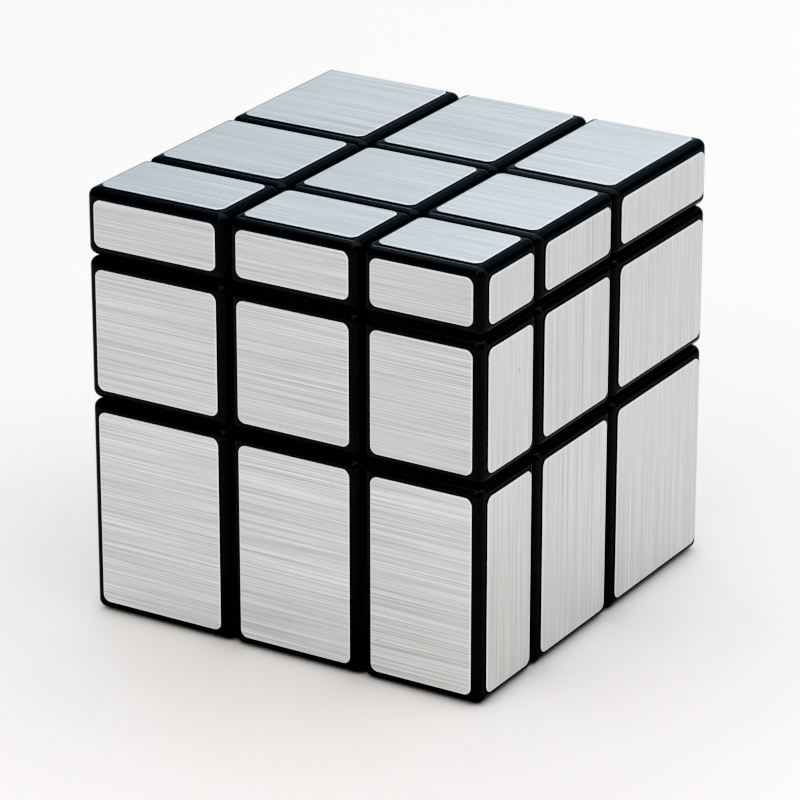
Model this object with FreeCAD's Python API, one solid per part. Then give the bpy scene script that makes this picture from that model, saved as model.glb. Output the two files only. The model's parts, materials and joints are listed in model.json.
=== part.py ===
"""Mirror-block twisty puzzle: a 57 mm cube cut into three uneven layers along each of its three axes.

Every middle layer is 19 mm thick. The outer layers are thinner on one side and thicker on the other, so the
turning axes cross at a core that lies off the cube's centre. Each piece hangs on that core:

- a ball core with six arms, and on each arm a screw, a washer and a coil spring that hold one centre piece;
- six centre pieces, each a housing with a square stem, and a cap that covers the screw;
- twelve edge pieces and eight corner pieces, each moulded as a foot half and a shell half around a hollow;
- brushed foil stickers, one on each outer face of each piece.

A layer is everything on the outer side of one cut. The cut is a surface of revolution about the layer's
axis: a plane at OUTER_CUT outside the radius TRACK_RADIUS, and a plane at INNER_CUT inside it, joined by a
cylinder. The feet reach inside that cylinder, under their neighbours, which is what holds the puzzle
together at any angle.

Units are millimetres. Pieces are modelled about the core, and are moved to the row frame as they are
written: the origin is under the middle of the cube on the surface that it stands on, +X right, +Y back and
+Z up.
"""
import FreeCAD
import Part
import math
import os
from itertools import product

Vector = FreeCAD.Vector

# Overall sizes
OVERALL = 57.0  # edge of the closed cube, over its stickers
MIDDLE_LAYER = 19.0  # thickness of the middle layer on each axis
CORE_OFFSET = {"x": 1.8, "y": -5.6, "z": 9.9}  # from the cube's middle to the core, where the axes cross
STICKER_THICKNESS = 0.2

# Cuts between the layers, measured from the core
OUTER_CUT = MIDDLE_LAYER / 2
INNER_CUT = 5.0
TRACK_RADIUS = 16.0
CLEARANCE = 0.12  # between a piece and the nominal cut, on each side of it

# Mouldings
EDGE_RADIUS = 1.15  # rounding of every block's edges
WALL = 1.5
CORNER_FOOT_REACH = 13.0  # a corner's foot ends here, along each axis
FOOT_INNER_RADIUS = 7.4  # feet and stems stay outside this ball
CAP_THICKNESS = 1.3
CAP_RIM_HEIGHT = 1.6
CAP_RIM_WALL = 0.9
CAP_RIM_PLAY = 0.08
HOLLOW_CENTRE_FROM = 22.0  # a centre piece that reaches less far than this has no room for a hollow

# Core, and what holds a centre piece on one of its arms, measured from the core outwards
BALL_RADIUS = 6.2
ARM_RADIUS = 3.0
ARM_TIP = 9.0
PILOT_HOLE_RADIUS = 1.3
PILOT_HOLE_FLOOR = 4.0
STEM_SOCKET_RADIUS = 3.2
STEM_FLOOR = (9.1, 10.6)
STEM_FLOOR_HOLE_RADIUS = 1.65
STEM_BORE_RADIUS = 3.6
SPRING_WIRE_RADIUS = 0.3
SPRING_MEAN_RADIUS = 2.25
SPRING_TURNS = 4
SPRING_SPAN = (10.65, 14.2)
WASHER_SPAN = (14.23, 14.6)
WASHER_OUTER_RADIUS = 2.9
SCREW_RADIUS = 1.28
SCREW_TIP = 4.4
SCREW_HEAD_SPAN = (14.6, 16.3)
SCREW_HEAD_RADIUS = 2.5
SCREW_RECESS = (3.2, 0.7, 0.9)  # cross recess: length, width, depth

# Stickers
STICKER_INSET = 1.48  # from the nominal edge of the block's face
STICKER_CORNER_RADIUS = 1.0

# Modelling aids
FAR = 60.0  # beyond every piece, for the solids that cut or keep a half space
OVERLAP = 1.0  # how far a solid runs past the face that it is fused to or cuts through
NEARBY = 0.01  # how close to a height an edge has to lie to be picked by it

AXES = ("x", "y", "z")
FACES = {
    "top": ("z", 1),
    "bottom": ("z", -1),
    "front": ("y", -1),
    "back": ("y", 1),
    "right": ("x", 1),
    "left": ("x", -1),
}


def reach(face):
    """Distance from the core to the outside of a face's stickers."""
    axis, sign = FACES[face]
    return OVERALL / 2 - sign * CORE_OFFSET[axis]


def turned_to(face, shape):
    """A shape made for the +Z face, turned about the core to another face."""
    axis, sign = FACES[face]
    if axis == "z":
        angle, about = (0 if sign > 0 else 180), Vector(1, 0, 0)
    elif axis == "x":
        angle, about = 90 * sign, Vector(0, 1, 0)
    else:
        angle, about = -90 * sign, Vector(1, 0, 0)
    turned = shape.copy()
    turned.rotate(Vector(0, 0, 0), about, angle)
    return turned


def box_between(low, high):
    """A box from one corner to the opposite one, given in any order."""
    a = [min(p, q) for p, q in zip(low, high)]
    b = [max(p, q) for p, q in zip(low, high)]
    return Part.makeBox(*[q - p for p, q in zip(a, b)], Vector(*a))


def rounded_box(low, high, radius):
    box = box_between(low, high)
    return box.makeFillet(radius, box.Edges)


def cylinder_between(radius, z_low, z_high):
    return Part.makeCylinder(radius, z_high - z_low, Vector(0, 0, z_low))


def side_faces(names):
    """The name and sign of each named face, by axis."""
    return {FACES[name][0]: (name, FACES[name][1]) for name in names}


def block_span(names, axis, inset=0.0):
    """Where a piece's block runs along one axis, from its near side to its far side, pulled in by inset."""
    on = side_faces(names)
    if axis not in on:
        half = OUTER_CUT - CLEARANCE - inset
        return -half, half
    name, sign = on[axis]
    near = OUTER_CUT + CLEARANCE + inset
    far = reach(name) - STICKER_THICKNESS - inset
    return sign * near, sign * far


def block_corners(names, inset=0.0):
    spans = [block_span(names, axis, inset) for axis in AXES]
    return [s[0] for s in spans], [s[1] for s in spans]


def inside_cut(face):
    """The space of one layer, clear of its cut."""
    slab = box_between((-FAR, -FAR, OUTER_CUT + CLEARANCE), (FAR, FAR, FAR))
    puck = cylinder_between(TRACK_RADIUS - CLEARANCE, INNER_CUT + CLEARANCE, OUTER_CUT + OVERLAP)
    return turned_to(face, slab.fuse(puck))


def track(face, wall=0.0):
    """The space that the feet of one layer sweep inside its neighbours, with an extra wall around it."""
    swept = cylinder_between(TRACK_RADIUS + CLEARANCE + wall, INNER_CUT - CLEARANCE - wall, FAR)
    return turned_to(face, swept)


def single_solid(shape, what):
    """The one solid that a piece has to be."""
    solids = shape.removeSplitter().Solids
    if len(solids) != 1 or not solids[0].isValid():
        raise ValueError(f"{what} came out as {len(solids)} solids")
    return solids[0]


def corner_piece(names):
    """A corner block on its foot, as its foot half and its shell half."""
    signs = [side_faces(names)[axis][1] for axis in AXES]
    near = [s * (INNER_CUT + CLEARANCE) for s in signs]
    foot_box = box_between(near, [s * CORNER_FOOT_REACH for s in signs])
    foot = foot_box
    for face in names:
        foot = foot.common(inside_cut(face))
    block = rounded_box(*block_corners(names), EDGE_RADIUS)
    hollow = box_between(*block_corners(names, WALL)).cut(foot_box)
    whole = block.fuse(foot).cut(hollow)

    inner_low, inner_high = block_corners(names, WALL)
    foot_zone = foot_box
    for i in range(3):
        high = list(inner_high)
        high[i] = inner_low[i]
        foot_zone = foot_zone.fuse(box_between([0, 0, 0], high))
    title = "corner " + " ".join(names)
    return [single_solid(whole.common(foot_zone), title), single_solid(whole.cut(foot_zone), title)]


def edge_piece(names):
    """An edge block on its foot, as its foot half and its shell half."""
    on = side_faces(names)
    free = next(axis for axis in AXES if axis not in on)
    ends = [name for name, (axis, _) in FACES.items() if axis == free]
    half_width = INNER_CUT - CLEARANCE
    low, high = [], []
    for axis in AXES:
        if axis == free:
            low.append(-half_width)
            high.append(half_width)
        else:
            low.append(on[axis][1] * (INNER_CUT + CLEARANCE))
            high.append(on[axis][1] * TRACK_RADIUS)
    foot = box_between(low, high).cut(Part.makeSphere(FOOT_INNER_RADIUS))
    for face in names:
        foot = foot.common(inside_cut(face))
    block = rounded_box(*block_corners(names), EDGE_RADIUS)
    arch = turned_to(ends[0], cylinder_between(TRACK_RADIUS + CLEARANCE + WALL, -FAR, FAR))
    for end in ends:
        block = block.cut(track(end))
    whole = block.fuse(foot).cut(box_between(*block_corners(names, WALL)).cut(arch))

    inner_low, inner_high = block_corners(names, WALL)
    foot_zone = arch
    for i, axis in enumerate(AXES):
        if axis == free:
            continue
        start = [-FAR if a == free else 0 for a in AXES]
        stop = [FAR if a == free else inner_high[k] for k, a in enumerate(AXES)]
        stop[i] = inner_low[i]
        foot_zone = foot_zone.fuse(box_between(start, stop))
    title = "edge " + " ".join(names)
    return [single_solid(whole.common(foot_zone), title), single_solid(whole.cut(foot_zone), title)]


def centre_block(face):
    """The rounded block of a centre piece, housing and cap together, for the +Z face."""
    half = OUTER_CUT - CLEARANCE
    top = reach(face) - STICKER_THICKNESS
    return rounded_box((-half, -half, OUTER_CUT + CLEARANCE), (half, half, top), EDGE_RADIUS)


def centre_hollow(face):
    """The room inside a centre housing, for the +Z face, or None where there is none."""
    if reach(face) < HOLLOW_CENTRE_FROM:
        return None
    half = OUTER_CUT - CLEARANCE - WALL
    room = box_between((-half, -half, 0), (half, half, FAR))
    vault = TRACK_RADIUS + CLEARANCE + WALL
    for beside in ("right", "front"):
        room = room.cut(turned_to(beside, cylinder_between(vault, -FAR, FAR)))
    return room.common(box_between((-FAR, -FAR, 0), (FAR, FAR, FAR)))


def centre_housing(face):
    """A centre piece without its cap: a block over the tracks, on a square stem around the screw."""
    parting = reach(face) - STICKER_THICKNESS - CAP_THICKNESS
    body = centre_block(face).common(box_between((-FAR, -FAR, 0), (FAR, FAR, parting)))
    for beside in ("right", "left", "front", "back"):
        body = body.cut(track(beside))
    half = INNER_CUT - CLEARANCE
    stem = box_between((-half, -half, INNER_CUT + CLEARANCE), (half, half, TRACK_RADIUS + WALL / 2))
    body = body.fuse(stem.cut(Part.makeSphere(FOOT_INNER_RADIUS)))
    body = body.cut(cylinder_between(STEM_SOCKET_RADIUS, 0, STEM_FLOOR[0]))
    body = body.cut(cylinder_between(STEM_FLOOR_HOLE_RADIUS, 0, FAR))
    body = body.cut(cylinder_between(STEM_BORE_RADIUS, STEM_FLOOR[1], FAR))
    hollow = centre_hollow(face)
    if hollow:
        body = body.cut(hollow)
    return turned_to(face, single_solid(body, f"{face} centre housing"))


def centre_cap(face):
    """The lid over a centre piece's screw, with a rim that grips inside the housing."""
    parting = reach(face) - STICKER_THICKNESS - CAP_THICKNESS
    lid = centre_block(face).common(box_between((-FAR, -FAR, parting), (FAR, FAR, FAR)))
    low = parting - CAP_RIM_HEIGHT
    if centre_hollow(face):
        half = OUTER_CUT - CLEARANCE - WALL - CAP_RIM_PLAY
        inner = half - CAP_RIM_WALL
        rim = box_between((-half, -half, low), (half, half, parting))
        rim = rim.cut(box_between((-inner, -inner, low), (inner, inner, parting)))
    else:
        outer = STEM_BORE_RADIUS - CAP_RIM_PLAY
        low = parting - CAP_RIM_HEIGHT / 2
        rim = cylinder_between(outer, low, parting)
        rim = rim.cut(cylinder_between(outer - CAP_RIM_WALL, low, parting))
    return turned_to(face, single_solid(lid.fuse(rim), f"{face} centre cap"))


def core():
    """A ball with six arms, each with a pilot hole for its screw."""
    body = Part.makeSphere(BALL_RADIUS)
    for face in FACES:
        body = body.fuse(turned_to(face, cylinder_between(ARM_RADIUS, 0, ARM_TIP)))
    for face in FACES:
        body = body.cut(turned_to(face, cylinder_between(PILOT_HOLE_RADIUS, PILOT_HOLE_FLOOR, FAR)))
    return single_solid(body, "core")


def screw():
    """A pan-head screw with a cross recess, for the +Z arm."""
    low, high = SCREW_HEAD_SPAN
    head = cylinder_between(SCREW_HEAD_RADIUS, low, high)
    rim = [e for e in head.Edges if e.BoundBox.ZMin > high - NEARBY]
    head = head.makeFillet((high - low) / 2, rim)
    length, width, depth = SCREW_RECESS
    for x, y in ((length / 2, width / 2), (width / 2, length / 2)):
        head = head.cut(box_between((-x, -y, high - depth), (x, y, high + OVERLAP)))
    shank = cylinder_between(SCREW_RADIUS, SCREW_TIP, low)
    tip = [e for e in shank.Edges if e.BoundBox.ZMax < SCREW_TIP + NEARBY]
    shank = shank.makeChamfer(SCREW_RADIUS / 2, tip)
    return single_solid(head.fuse(shank), "screw")


def washer():
    ring = cylinder_between(WASHER_OUTER_RADIUS, *WASHER_SPAN)
    return ring.cut(cylinder_between(SCREW_RADIUS + 2 * CLEARANCE, *WASHER_SPAN)).Solids[0]


def spring():
    """A coil spring between a centre's floor and its washer, for the +Z arm, swept along half turns."""
    low = SPRING_SPAN[0] + SPRING_WIRE_RADIUS
    pitch = (SPRING_SPAN[1] - SPRING_WIRE_RADIUS - low) / SPRING_TURNS
    path = []
    for i in range(2 * SPRING_TURNS):
        half_turn = Part.makeHelix(pitch, pitch / 2, SPRING_MEAN_RADIUS)
        half_turn.rotate(Vector(0, 0, 0), Vector(0, 0, 1), 180 * i)
        half_turn.translate(Vector(0, 0, low + pitch / 2 * i))
        path += half_turn.Edges
    slope = math.atan2(pitch, 2 * math.pi * SPRING_MEAN_RADIUS)
    along = Vector(0, math.cos(slope), math.sin(slope))
    section = Part.Wire(Part.makeCircle(SPRING_WIRE_RADIUS, Vector(SPRING_MEAN_RADIUS, 0, low), along))
    return Part.Wire(path).makePipeShell([section], True, True).Solids[0]


def tension_sets():
    """Six sets of screw, washer and spring, one on each arm."""
    fasteners = [screw(), washer(), spring()]
    return [turned_to(face, item).Solids[0] for face in FACES for item in fasteners]


def sticker(names, face):
    """The foil on one outer face of a piece."""
    axis, sign = FACES[face]
    low, high = [], []
    for other in AXES:
        if other == axis:
            low.append(sign * (reach(face) - STICKER_THICKNESS))
            high.append(sign * reach(face))
            continue
        on = side_faces(names)
        if other in on:
            name, toward = on[other]
            low.append(toward * (OUTER_CUT + STICKER_INSET))
            high.append(toward * (reach(name) - STICKER_INSET))
        else:
            low.append(-OUTER_CUT + STICKER_INSET)
            high.append(OUTER_CUT - STICKER_INSET)
    plate = box_between(low, high)
    normal = Vector(*[1.0 if a == axis else 0.0 for a in AXES])
    upright = [e for e in plate.Edges if abs(e.tangentAt(e.FirstParameter).dot(normal)) > 0.9]
    return plate.makeFillet(STICKER_CORNER_RADIUS, upright).Solids[0]


def cells():
    """The faces that each outer piece touches, by piece name."""
    found = {}
    layers = (("top", None, "bottom"), ("front", None, "back"), ("right", None, "left"))
    kinds = {1: "centre", 2: "edge", 3: "corner"}
    for choice in product(*layers):
        names = [face for face in choice if face]
        if names:
            found["_".join(names) + "_" + kinds[len(names)]] = names
    return found


def write(node, solids):
    """One node's solids, moved from the core to the row frame, in parts/NODE.step."""
    place = Vector(*[CORE_OFFSET[axis] for axis in AXES])
    place.z += OVERALL / 2
    moved = Part.Compound([s.copy() for s in solids])
    moved.translate(place)
    moved.exportStep(f"parts/{node}.step")
    volume = sum(s.Volume for s in solids)
    print(f"{node}: {len(solids)} solids, {volume / 1000:.2f} cm3")


def main():
    os.makedirs("parts", exist_ok=True)
    write("core", [core()])
    write("screw_washer_spring_sets", tension_sets())
    for piece, names in cells().items():
        stickers = [sticker(names, face) for face in names]
        if len(names) == 1:
            write(piece + "_housing", [centre_housing(names[0])])
            write(piece + "_cap", [centre_cap(names[0])])
            write(piece + "_sticker", stickers)
        else:
            make = edge_piece if len(names) == 2 else corner_piece
            write(piece, make(names))
            write(piece + "_stickers", stickers)


main()
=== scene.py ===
import json
import math
import random
from typing import NamedTuple

import bmesh
import bpy
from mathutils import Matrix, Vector


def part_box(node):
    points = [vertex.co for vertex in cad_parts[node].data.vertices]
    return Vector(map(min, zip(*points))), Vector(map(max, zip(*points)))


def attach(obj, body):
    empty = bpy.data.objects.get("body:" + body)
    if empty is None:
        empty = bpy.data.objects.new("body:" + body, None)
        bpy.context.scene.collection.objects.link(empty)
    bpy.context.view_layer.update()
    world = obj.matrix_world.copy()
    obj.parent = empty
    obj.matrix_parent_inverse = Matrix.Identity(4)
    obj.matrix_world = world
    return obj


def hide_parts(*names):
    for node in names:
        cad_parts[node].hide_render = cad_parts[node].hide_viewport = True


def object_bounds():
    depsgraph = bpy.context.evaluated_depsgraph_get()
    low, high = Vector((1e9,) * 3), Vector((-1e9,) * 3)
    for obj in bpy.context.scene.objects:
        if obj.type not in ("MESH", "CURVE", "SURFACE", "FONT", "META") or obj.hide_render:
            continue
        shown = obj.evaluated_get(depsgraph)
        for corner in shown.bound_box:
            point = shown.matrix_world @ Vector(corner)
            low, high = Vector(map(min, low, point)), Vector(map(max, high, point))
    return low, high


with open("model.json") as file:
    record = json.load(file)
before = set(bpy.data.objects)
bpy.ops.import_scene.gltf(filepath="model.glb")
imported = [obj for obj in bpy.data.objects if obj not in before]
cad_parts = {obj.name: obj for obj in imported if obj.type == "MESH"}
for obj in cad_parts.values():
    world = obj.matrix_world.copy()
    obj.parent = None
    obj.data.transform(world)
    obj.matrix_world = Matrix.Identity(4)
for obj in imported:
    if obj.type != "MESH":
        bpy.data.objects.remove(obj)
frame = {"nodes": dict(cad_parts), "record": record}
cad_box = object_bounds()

# Stickers, in metres
MM = 0.001
STICKER_THICKNESS = 0.2 * MM
STICKER_INSET = 1.48 * MM
STICKER_CORNER_RADIUS = 1.0 * MM
STICKER_EDGE_ROUNDING = 0.1 * MM
EDGE_HIGHLIGHT_WIDTH = 0.12 * MM  # the painted highlight, a bright strip along the flat top's edge
EDGE_HIGHLIGHT_FULL_PART = 0.6  # the part of the painted highlight's width before it fades into the brushing
CORNER_STEPS = 10
ROUNDING_STEPS = 4

# Each face's outward axis and its direction, and the axis that its foil is brushed along
FACES = {
    "top": ("z", 1, "x"),
    "bottom": ("z", -1, "x"),
    "front": ("y", -1, "x"),
    "back": ("y", 1, "x"),
    "right": ("x", 1, "z"),
    "left": ("x", -1, "z"),
}
AXIS_INDEX = {"x": 0, "y": 1, "z": 2}

# How deeply the foil is brushed, by the axis that it is brushed along
BRUSHING_DEPTH = {"x": 1.0, "z": 0.6}
ROLL_REACH = 400  # each sticker is cut from its own place on the roll, within this many millimetres
STICKER_DULLING = 0.06  # the most that chance makes one sticker duller than another
TOP_PAINTED_SHADE = 0.24  # painted shade: how much darker the foil is painted at the top of the cube than at its foot

# The foil's patterns, as noise: how often each repeats in a millimetre, along the brushing and across
# it. The third number plays no part, because the brush map is flat.
LONG_STREAKS = (0.018, 2.8, 1)
MIDDLING_STREAKS = (0.03, 5.5, 1)
FINE_STREAKS = (0.06, 11.0, 1)
CLOUDS = (0.03, 0.16, 1)

# The foil's colours
FOIL_DARK = (0.53, 0.53, 0.52, 1)
FOIL_LIGHT = (0.985, 0.985, 0.965, 1)
FOIL_CLOUD = (0.67, 0.67, 0.67, 1)
# The colour that mixes in for each sticker's random dullness and for the painted shade towards the top of
# the cube
FOIL_DULL_AND_SHADE = (0.49, 0.49, 0.5, 1)
# The colour of the painted highlight along each sticker's edge
FOIL_EDGE_HIGHLIGHT = (0.97, 0.97, 0.96, 1)
STREAK_RANGE = (0.36, 0.64)  # the part of the streaks' noise that is spread from dark to light
MIDDLE_SHADE = 0.46  # between FOIL_DARK at 0 and FOIL_LIGHT at 1
DARKER, LIGHTER = 0.5, 0.46  # how far the streaks go to each side of it in the deepest brushing
CLOUD_STRENGTH = 0.2
EDGE_HIGHLIGHT_STRENGTH = 0.55


class Mark(NamedTuple):
    """A kind of mark that is laid over the foil's streaks: painted glints, scratches and dents."""

    pattern: tuple
    shows: tuple  # the noise at which it begins to show, and the noise from which it shows in full
    strength: float
    colour: tuple


# Painted glints: thin bright lines painted into the foil's colour, stronger where the brushing is deep
GLINT = Mark((0.025, 6.0, 1), (0.62, 0.7), 0.7, (0.99, 0.99, 0.98, 1))
SCRATCH = Mark((0.03, 7.0, 1), (0.62, 0.69), 0.5, (0.39, 0.385, 0.38, 1))
DENT = Mark((0.9, 1.6, 1), (0.86, 0.88), 0.5, (0.3, 0.3, 0.3, 1))

# The other finishes' colours, each the darker and the lighter of two that noise mixes
BLACK = ((0.0015, 0.0017, 0.0024, 1), (0.0026, 0.003, 0.004, 1))
CORE_GREY = ((0.55, 0.55, 0.53, 1), (0.66, 0.66, 0.63, 1))
STEEL = ((0.5, 0.5, 0.5, 1), (0.68, 0.68, 0.67, 1))
FLOOR_WHITE = ((0.95, 0.884, 0.84, 1), (0.965, 0.899, 0.855, 1))

# Each finish's roughness, which noise spreads between two values, and the part of the noise that it uses
NOISE_RANGE = (0.3, 0.7)
FOIL_ROUGHNESS = (0.3, 0.46)
BLACK_ROUGHNESS = (0.15, 0.23)
CORE_ROUGHNESS = (0.4, 0.55)
STEEL_ROUGHNESS = (0.2, 0.35)

# The black plastic's specular level face on and edge on, and the facing values between which it changes
BLACK_GLOSS = (0.55, 0.15)
BLACK_TURNING = (0.3, 0.55)

# Stage
FLOOR_HALF = 3.0  # half the floor's width
LIGHT_AIM = Vector((0, 0, 0.03))
ROOM_COLOUR = (0.8, 0.92, 1.0, 1)
ROOM_BRIGHTNESS = 0.71
CAMERA_AT = Vector((0.2747, -0.4536, 0.2388))
CAMERA_AIM = Vector((0.0005, -0.0012, 0.0253))
CAMERA_LENS = 202.0
CAMERA_SENSOR = 36.0
CAMERA_REACH = (0.01, 20.0)  # the nearest and the farthest that it sees

# The tone curve: what is shown as black, and its toe, as light and how bright it is shown
BLACK_LEVEL = (0.004, 0.004, 0.004)
TOE = ((0.045, 0.0035), (0.11, 0.05), (0.25, 0.235), (0.5, 0.5))


# ---------------------------------------------------------------- node helpers


class Shader:
    """A material's node tree, with short helpers for the nodes that the finishes use."""

    def __init__(self, name):
        self.material = bpy.data.materials.new(name)
        self.material.use_nodes = True
        self.tree = self.material.node_tree
        self.bsdf = self.tree.nodes["Principled BSDF"]

    def put(self, socket, value):
        if hasattr(value, "is_output"):
            self.tree.links.new(value, socket)
        else:
            socket.default_value = value

    def node(self, kind, inputs=(), **settings):
        node = self.tree.nodes.new(kind)
        for key, value in settings.items():
            setattr(node, key, value)
        for key, value in dict(inputs).items():
            self.put(node.inputs[key], value)
        return node

    def principled(self, **inputs):
        for key, value in inputs.items():
            self.put(self.bsdf.inputs[key.replace("_", " ")], value)

    def math(self, operation, *values):
        node = self.node("ShaderNodeMath", operation=operation)
        for i, value in enumerate(values):
            self.put(node.inputs[i], value)
        return node.outputs[0]

    def weighted(self, *parts):
        """The sum of values, each times its weight."""
        scaled = [self.math("MULTIPLY", value, weight) for value, weight in parts]
        total = scaled[0]
        for part in scaled[1:]:
            total = self.math("ADD", total, part)
        return total

    def noise(self, vector, scale, detail=2.0):
        inputs = {"Vector": vector, "Scale": scale, "Detail": detail, "Roughness": 0.5}
        return self.node("ShaderNodeTexNoise", inputs).outputs["Fac"]

    def marks(self, vector, pattern, detail=0.0):
        """Noise that is stretched to a pattern on the foil."""
        stretched = self.node("ShaderNodeMapping", {"Vector": vector, "Scale": pattern}).outputs[0]
        return self.noise(stretched, 1.0, detail)

    def spread(self, value, low, high, to_low=0.0, to_high=1.0):
        """Moves the range low to high onto to_low to to_high, and cuts off what is outside it."""
        inputs = {"Value": value, "From Min": low, "From Max": high, "To Min": to_low, "To Max": to_high}
        return self.node("ShaderNodeMapRange", inputs).outputs[0]

    def mix(self, factor, first, second):
        node = self.node("ShaderNodeMix", data_type="RGBA")
        for key, value in (("Factor_Float", factor), ("A_Color", first), ("B_Color", second)):
            self.put(next(s for s in node.inputs if s.identifier == key), value)
        return next(s for s in node.outputs if s.identifier == "Result_Color")

    def bump(self, height, distance, strength=1.0):
        inputs = {"Height": height, "Distance": distance, "Strength": strength}
        return self.node("ShaderNodeBump", inputs).outputs[0]

    def object_coordinates(self):
        return self.node("ShaderNodeTexCoord").outputs["Object"]

    def attribute(self, name):
        return self.node("ShaderNodeAttribute", attribute_name=name).outputs["Fac"]


def gloss_black():
    """Black moulded plastic with a slightly uneven skin. It is less glossy seen edge on than face on."""
    s = Shader("gloss_black")
    place = s.object_coordinates()
    cloud = s.noise(place, 90.0, 3.0)
    grain = s.noise(place, 2600.0)
    skin = s.weighted((cloud, 0.6), (grain, 0.4))
    facing = s.node("ShaderNodeLayerWeight", {"Blend": 0.5}).outputs["Facing"]
    s.principled(
        Base_Color=s.mix(s.spread(cloud, 0.35, 0.65), *BLACK),
        Roughness=s.spread(skin, *NOISE_RANGE, *BLACK_ROUGHNESS),
        Specular_IOR_Level=s.spread(facing, *BLACK_TURNING, *BLACK_GLOSS),
        Normal=s.bump(grain, 0.002 * MM),
    )
    return s.material


def brushed_foil():
    """Silver foil. Its brush map runs in millimetres: u along the brushing, v across it."""
    s = Shader("brushed_foil")
    brush = s.node("ShaderNodeUVMap", uv_map="brush").outputs[0]
    depth = s.attribute("depth")
    long = s.marks(brush, LONG_STREAKS, 1.0)
    middling = s.marks(brush, MIDDLING_STREAKS)
    fine = s.marks(brush, FINE_STREAKS, 1.0)
    cloud = s.marks(brush, CLOUDS, 2.0)
    streak = s.weighted((long, 0.2), (middling, 0.4), (fine, 0.4))

    darkest = s.math("MULTIPLY_ADD", depth, -DARKER, MIDDLE_SHADE)
    lightest = s.math("MULTIPLY_ADD", depth, LIGHTER, MIDDLE_SHADE)
    colour = s.mix(s.spread(streak, *STREAK_RANGE, darkest, lightest), FOIL_DARK, FOIL_LIGHT)
    # Painted glints, then scratches and dents, laid over the streaks
    for mark, part in ((GLINT, depth), (SCRATCH, 1.0), (DENT, 1.0)):
        shown = s.math("MULTIPLY", s.spread(s.marks(brush, mark.pattern), *mark.shows), part)
        colour = s.mix(s.math("MULTIPLY", shown, mark.strength), colour, mark.colour)
    colour = s.mix(s.spread(cloud, *NOISE_RANGE, 0.0, CLOUD_STRENGTH), colour, FOIL_CLOUD)
    # Each sticker's random dullness, with painted shade that grows towards the top of the cube
    colour = s.mix(s.attribute("tone"), colour, FOIL_DULL_AND_SHADE)
    # Painted highlight: a bright strip along each sticker's edge
    colour = s.mix(s.math("MULTIPLY", s.attribute("edge_highlight"), EDGE_HIGHLIGHT_STRENGTH), colour, FOIL_EDGE_HIGHLIGHT)
    s.principled(
        Base_Color=colour,
        Metallic=1.0,
        Roughness=s.spread(streak, *NOISE_RANGE, *FOIL_ROUGHNESS),
        Anisotropic=0.75,
        Anisotropic_Rotation=0.25,
        Tangent=s.node("ShaderNodeTangent", direction_type="UV_MAP", uv_map="brush").outputs[0],
        Normal=s.bump(s.weighted((fine, 1.0), (cloud, 6.0)), 0.012 * MM, 0.5),
    )
    return s.material


def core_plastic():
    s = Shader("core_plastic")
    place = s.object_coordinates()
    cloud = s.noise(place, 400.0, 3.0)
    s.principled(
        Base_Color=s.mix(cloud, *CORE_GREY),
        Roughness=s.spread(cloud, *NOISE_RANGE, *CORE_ROUGHNESS),
        Normal=s.bump(s.noise(place, 3000.0), 0.005 * MM),
    )
    return s.material


def plated_steel():
    s = Shader("plated_steel")
    place = s.object_coordinates()
    cloud = s.noise(place, 700.0, 4.0)
    s.principled(
        Base_Color=s.mix(cloud, *STEEL),
        Metallic=1.0,
        Roughness=s.spread(cloud, *NOISE_RANGE, *STEEL_ROUGHNESS),
        Normal=s.bump(s.noise(place, 5000.0), 0.003 * MM),
    )
    return s.material


def pale_floor():
    s = Shader("pale_floor")
    place = s.object_coordinates()
    cloud = s.noise(place, 3.0, 3.0)
    s.principled(
        Base_Color=s.mix(cloud, *FLOOR_WHITE),
        Roughness=0.55,
        Specular_IOR_Level=0.25,
        Normal=s.bump(s.noise(place, 900.0), 0.01 * MM),
    )
    return s.material


# ---------------------------------------------------------------- meshes


def add_mesh(name, bm, material):
    """Puts a finished bmesh in the scene as an object of one material."""
    mesh = bpy.data.meshes.new(name)
    bm.to_mesh(mesh)
    bm.free()
    mesh.materials.append(material)
    obj = bpy.data.objects.new(name, mesh)
    bpy.context.scene.collection.objects.link(obj)
    return obj


def rounded_outline(width, height, radius, inset):
    """Points around a rounded rectangle centred on the origin, pulled in by inset."""
    x = width / 2 - radius
    y = height / 2 - radius
    r = radius - inset
    points = []
    for k, (cx, cy) in enumerate(((x, y), (-x, y), (-x, -y), (x, -y))):
        for i in range(CORNER_STEPS + 1):
            turn = math.radians(90 * (k + i / CORNER_STEPS))
            points.append((cx + r * math.cos(turn), cy + r * math.sin(turn)))
    return points


def sticker_rings(width, height):
    """The sticker's outlines from its glued underside to its flat top, each with its height and its painted
    edge highlight.
    """
    rings = [(0.0, 0.0, 1.0), (0.0, STICKER_THICKNESS - STICKER_EDGE_ROUNDING, 1.0)]
    for i in range(1, ROUNDING_STEPS + 1):
        turn = math.radians(90 * i / ROUNDING_STEPS)
        inset = STICKER_EDGE_ROUNDING * (1 - math.cos(turn))
        rise = STICKER_EDGE_ROUNDING * (math.sin(turn) - 1)
        rings.append((inset, STICKER_THICKNESS + rise, 1.0))
    rings.append((STICKER_EDGE_ROUNDING + EDGE_HIGHLIGHT_WIDTH * EDGE_HIGHLIGHT_FULL_PART, STICKER_THICKNESS, 1.0))
    rings.append((STICKER_EDGE_ROUNDING + EDGE_HIGHLIGHT_WIDTH, STICKER_THICKNESS, 0.0))
    for inset, z, edge_highlight in rings:
        yield rounded_outline(width, height, STICKER_CORNER_RADIUS, inset), z, edge_highlight


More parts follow.
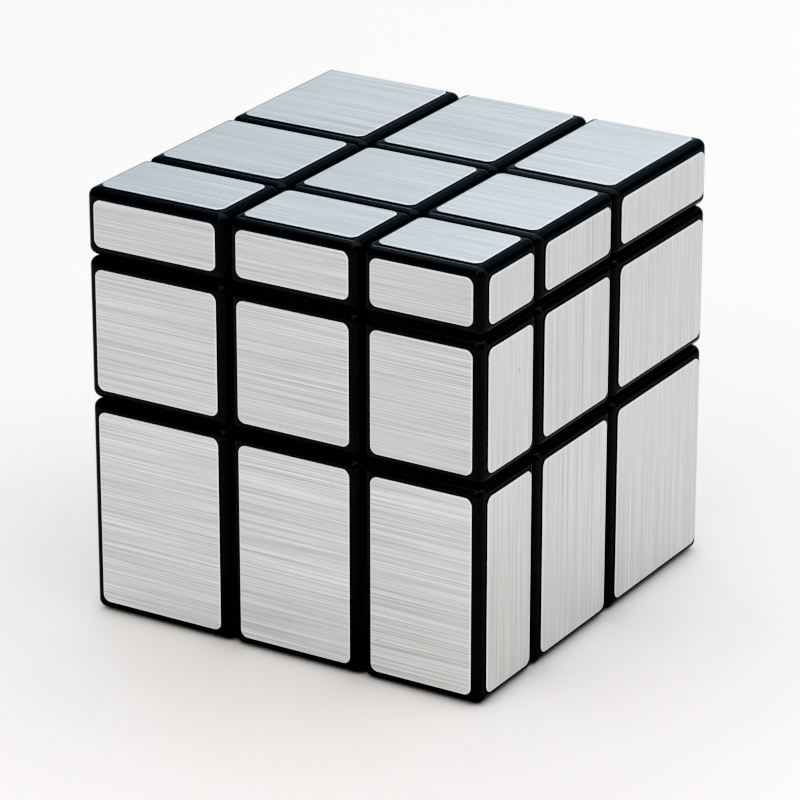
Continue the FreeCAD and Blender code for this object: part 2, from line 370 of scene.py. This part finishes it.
def add_sticker(bm, layers, low, high, face, chance):
    """One sticker between two corners of its box, on the named face."""
    uv, tone, edge_highlight, depth = layers
    axis, sign, brushed = FACES[face]
    n = AXIS_INDEX[axis]
    u = AXIS_INDEX[brushed]
    v = 3 - n - u
    middle = (low + high) / 2
    base = low[n] if sign > 0 else high[n]
    roll_place = (chance.uniform(-ROLL_REACH, ROLL_REACH), chance.uniform(-ROLL_REACH, ROLL_REACH))
    # A random dullness for each sticker, plus painted shade that grows with its height on the cube
    dulling_and_shade = chance.uniform(0.0, STICKER_DULLING) + TOP_PAINTED_SHADE * middle.z / cad_box[1][2]
    along = Vector()
    along[u] = 1
    across = Vector()
    across[v] = 1
    out = Vector()
    out[n] = sign
    flipped = along.cross(across).dot(out) < 0

    rows = []
    for outline, z, on_edge_highlight in sticker_rings(high[u] - low[u], high[v] - low[v]):
        row = []
        for a, b in outline:
            place = Vector()
            place[u] = middle[u] + a
            place[v] = middle[v] + b
            place[n] = base + sign * z
            vert = bm.verts.new(place)
            vert[tone] = dulling_and_shade
            vert[edge_highlight] = on_edge_highlight
            vert[depth] = BRUSHING_DEPTH[brushed]
            row.append(vert)
        rows.append(row)
    sides = []
    for lower, upper in zip(rows, rows[1:]):
        for i in range(len(lower)):
            j = (i + 1) % len(lower)
            sides.append(bm.faces.new((lower[i], lower[j], upper[j], upper[i])))
    flats = [bm.faces.new(rows[-1]), bm.faces.new(rows[0][::-1])]
    for f in sides + flats:
        if flipped:
            f.normal_flip()
        for loop in f.loops:
            a = (loop.vert.co[u] - middle[u]) / MM
            b = (loop.vert.co[v] - middle[v]) / MM
            loop[uv].uv = (a + roll_place[0], b + roll_place[1])
    for f in sides:
        f.smooth = True


def sticker_boxes(node, names):
    """The box of each sticker of a piece, from the box of its CAD node."""
    low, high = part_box(node)
    for face in names:
        axis, sign, _ = FACES[face]
        a, b = low.copy(), high.copy()
        for other in names:
            i = AXIS_INDEX[FACES[other][0]]
            toward = FACES[other][1]
            pull = STICKER_INSET if other != face else 0.0
            if toward > 0:
                b[i] -= pull
            else:
                a[i] += pull
        i = AXIS_INDEX[axis]
        if sign > 0:
            a[i] = b[i] - STICKER_THICKNESS
        else:
            b[i] = a[i] + STICKER_THICKNESS
        yield face, a, b


def foil_piece(node, body, material, number):
    """All the foil of one puzzle piece, in place of its CAD stickers."""
    names = [word for word in node.split("_") if word in FACES]
    chance = random.Random(number)
    bm = bmesh.new()
    layers = (
        bm.loops.layers.uv.new("brush"),
        bm.verts.layers.float.new("tone"),
        bm.verts.layers.float.new("edge_highlight"),
        bm.verts.layers.float.new("depth"),
    )
    for face, low, high in sticker_boxes(node, names):
        add_sticker(bm, layers, low, high, face, chance)
    foil_object = add_mesh(body + "_foil", bm, material)
    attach(foil_object, body)
    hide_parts(node)


def finish_shells(bodies, materials):
    """Gives each CAD node that isn't a sticker its finish."""
    for body, members in bodies.items():
        for name in members:
            if "sticker" in name:
                continue
            mesh = frame["nodes"][name].data
            if name == "core":
                finish = materials["core"]
            elif body == "core":
                finish = materials["steel"]
            else:
                finish = materials["black"]
            mesh.materials.clear()
            mesh.materials.append(finish)


# ---------------------------------------------------------------- stage


def build_floor(material):
    bm = bmesh.new()
    square = ((-1, -1), (1, -1), (1, 1), (-1, 1))
    bm.faces.new([bm.verts.new((x * FLOOR_HALF, y * FLOOR_HALF, 0.0)) for x, y in square])
    add_mesh("floor", bm, material)


def add_light(name, at, size, power, colour, aim=LIGHT_AIM):
    """A soft box that the camera doesn't see."""
    data = bpy.data.lights.new(name, "AREA")
    data.shape = "RECTANGLE"
    data.size, data.size_y = size
    data.energy = power
    data.color = colour
    obj = bpy.data.objects.new(name, data)
    obj.location = at
    obj.rotation_euler = (Vector(aim) - Vector(at)).to_track_quat("-Z", "Y").to_euler()
    obj.visible_camera = False
    bpy.context.scene.collection.objects.link(obj)


def build_lights():
    """A wide ceiling, a warm fill in front, a panel on the right, a panel behind and a small bright key."""
    add_light("key", at=(-0.48, 0.42, 0.83), size=(0.12, 0.12), power=0.32, colour=(0.74, 0.9, 1.0))
    add_light("ceiling", at=(0.18, 0, 1.6), size=(2.2, 2.4), power=14.9,
              colour=(1.0, 0.9, 0.87), aim=(0.18, 0, 0.03))
    add_light("fill", at=(-0.1, -1.0, 0.62), size=(0.8, 0.9), power=1.4, colour=(1.0, 0.86, 0.7))
    add_light("right", at=(0.8, 0.3, 0.5), size=(0.9, 0.9), power=1.3, colour=(0.86, 0.94, 1.0))
    add_light("back_panel", at=(-0.1, 1.2, 0.5), size=(1.1, 0.8), power=1.25, colour=(0.8, 0.92, 1.0))


def build_world():
    world = bpy.data.worlds.new("studio")
    world.use_nodes = True
    background = world.node_tree.nodes["Background"]
    background.inputs["Color"].default_value = ROOM_COLOUR
    background.inputs["Strength"].default_value = ROOM_BRIGHTNESS
    bpy.context.scene.world = world


def build_camera():
    data = bpy.data.cameras.new("camera")
    data.sensor_width = CAMERA_SENSOR
    data.lens = CAMERA_LENS
    data.clip_start, data.clip_end = CAMERA_REACH
    obj = bpy.data.objects.new("camera", data)
    obj.location = CAMERA_AT
    obj.rotation_euler = (CAMERA_AIM - CAMERA_AT).to_track_quat("-Z", "Y").to_euler()
    bpy.context.scene.collection.objects.link(obj)
    bpy.context.scene.camera = obj


def grade():
    """A plain transform with the deep blacks of a studio picture: a toe that leaves the mid tones alone."""
    settings = bpy.context.scene.view_settings
    settings.view_transform = "Standard"
    settings.use_curve_mapping = True
    settings.curve_mapping.black_level = BLACK_LEVEL
    combined = settings.curve_mapping.curves[-1]
    for light, shown in TOE:
        combined.points.new(light, shown)
    settings.curve_mapping.update()


bodies = frame["record"]["behaviour"]["bodies"]
foil = brushed_foil()
finish_shells(bodies, {"black": gloss_black(), "core": core_plastic(), "steel": plated_steel()})
for number, (body, members) in enumerate(sorted(bodies.items())):
    for member in members:
        if "sticker" in member:
            foil_piece(member, body, foil, number)
build_floor(pale_floor())
build_world()
build_lights()
build_camera()
grade()
